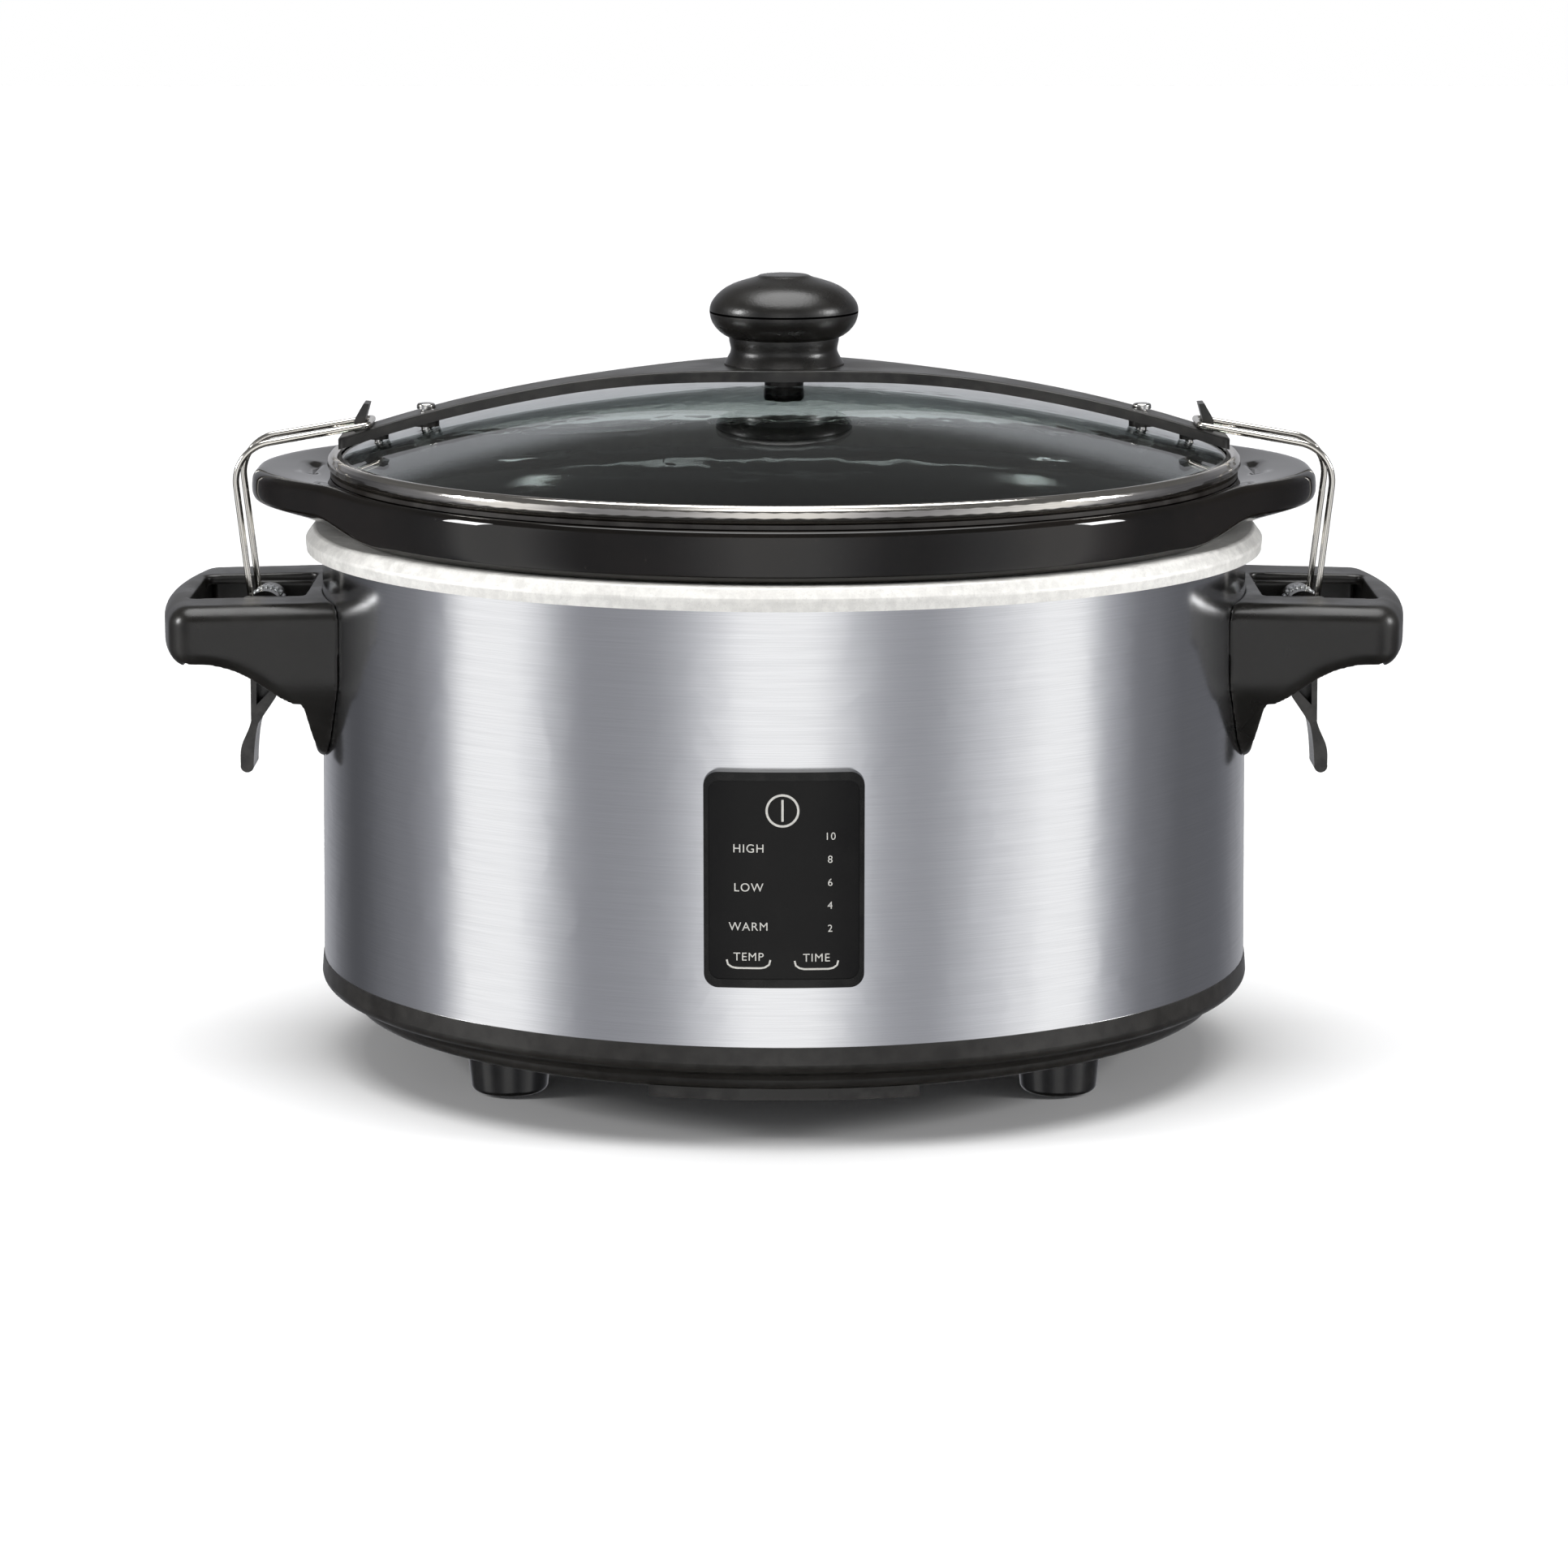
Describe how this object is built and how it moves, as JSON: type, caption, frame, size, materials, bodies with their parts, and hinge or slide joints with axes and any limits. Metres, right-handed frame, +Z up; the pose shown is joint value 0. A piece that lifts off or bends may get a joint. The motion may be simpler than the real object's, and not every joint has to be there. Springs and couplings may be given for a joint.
{
  "type": "slow cooker",
  "caption": "Oval countertop slow cooker with steel body, lift-out stoneware crock, glass lid held by sprung wire latches on the side handles, and a touch control panel.",
  "frame": {"origin": "on the upright axis of the oval body, at table level; the cord bush at the rear puts the middle of the box 2.9 mm behind it", "axes": "+Z up, X along the long axis through the two handles, control panel facing -Y"},
  "size_m": [0.4394, 0.2984, 0.2791],
  "materials": {
    "brushed_shell": "horizontal brushed stainless",
    "aluminised_steel": "matt aluminised sheet",
    "polished_steel": "bright drawn",
    "zinc_steel": "zinc plated",
    "black_moulding": "satin black moulding",
    "black_gloss": "gloss black moulding",
    "black_glaze": "black glazed stoneware",
    "clear_glass": "clear tempered glass",
    "black_rubber": "silicone rubber",
    "circuit_board": "fibreglass laminate",
    "component_body": "moulded electrical part",
    "ribbon_pvc": "flat cable"
  },
  "bodies": {
    "cooker": {"base_tray": "black_moulding", "board_screws": "zinc_steel", "button_switches": "component_body", "capacitors": "component_body", "control_bezel": "black_gloss", "control_board": "circuit_board", "control_overlay": "black_gloss", "cord_gland": "black_moulding", "feet": "black_gloss", "foot_pads": "black_rubber", "foot_screws": "zinc_steel", "handle_left": "black_moulding", "handle_plates": "zinc_steel", "handle_right": "black_moulding", "handle_screws": "zinc_steel", "heat_shield": "aluminised_steel", "heater_band": "aluminised_steel", "heater_clamp_bolts": "zinc_steel", "heating_well": "aluminised_steel", "indicator_lamps": "component_body", "latch_pins": "polished_steel", "mains_terminals": "component_body", "outer_shell": "brushed_shell", "power_board": "circuit_board", "relay": "component_body", "ribbon_cable": "ribbon_pvc", "sensor_bracket": "zinc_steel", "temperature_sensor": "zinc_steel", "thermal_fuse": "polished_steel", "tie_bolt": "zinc_steel", "tie_nut": "zinc_steel", "transformer": "component_body"},
    "crock": {"crock": "black_glaze"},
    "lid": {"lid_glass": "clear_glass", "lid_rim": "polished_steel", "lid_gasket": "black_rubber", "lid_bar": "black_moulding", "bar_washers": "black_rubber", "bar_screws": "polished_steel", "bar_nuts": "polished_steel", "hook_screws": "polished_steel", "knob_body": "black_moulding", "knob_cap": "black_moulding", "knob_screw": "black_moulding"},
    "lever_left": {"latch_lever_left": "black_gloss"},
    "lever_right": {"latch_lever_right": "black_gloss"},
    "bail_left": {"wire_bail_left": "polished_steel"},
    "bail_right": {"wire_bail_right": "polished_steel"}
  },
  "joints": [
    {"name": "crock_lift", "type": "slide", "parent": "cooker", "child": "crock", "axis": [0, 0, 1], "range_m": [0, 0.27]},
    {"name": "lid_lift", "type": "slide", "parent": "crock", "child": "lid", "axis": [0, 0, 1], "range_m": [0, 0.2]},
    {"name": "lever_left_turn", "type": "hinge", "parent": "cooker", "child": "lever_left", "pos_m": [-0.1842, 0, 0.1615], "axis": [0, 1, 0], "range_deg": [0, 45]},
    {"name": "lever_right_turn", "type": "hinge", "parent": "cooker", "child": "lever_right", "pos_m": [0.1842, 0, 0.1615], "axis": [0, -1, 0], "range_deg": [0, 45]},
    {"name": "bail_left_swing", "type": "hinge", "parent": "cooker", "child": "bail_left", "pos_m": [-0.1882, 0, 0.1605], "axis": [0, -1, 0], "range_deg": [0, 60]},
    {"name": "bail_right_swing", "type": "hinge", "parent": "cooker", "child": "bail_right", "pos_m": [0.1882, 0, 0.1605], "axis": [0, 1, 0], "range_deg": [0, 60]}
  ]
}
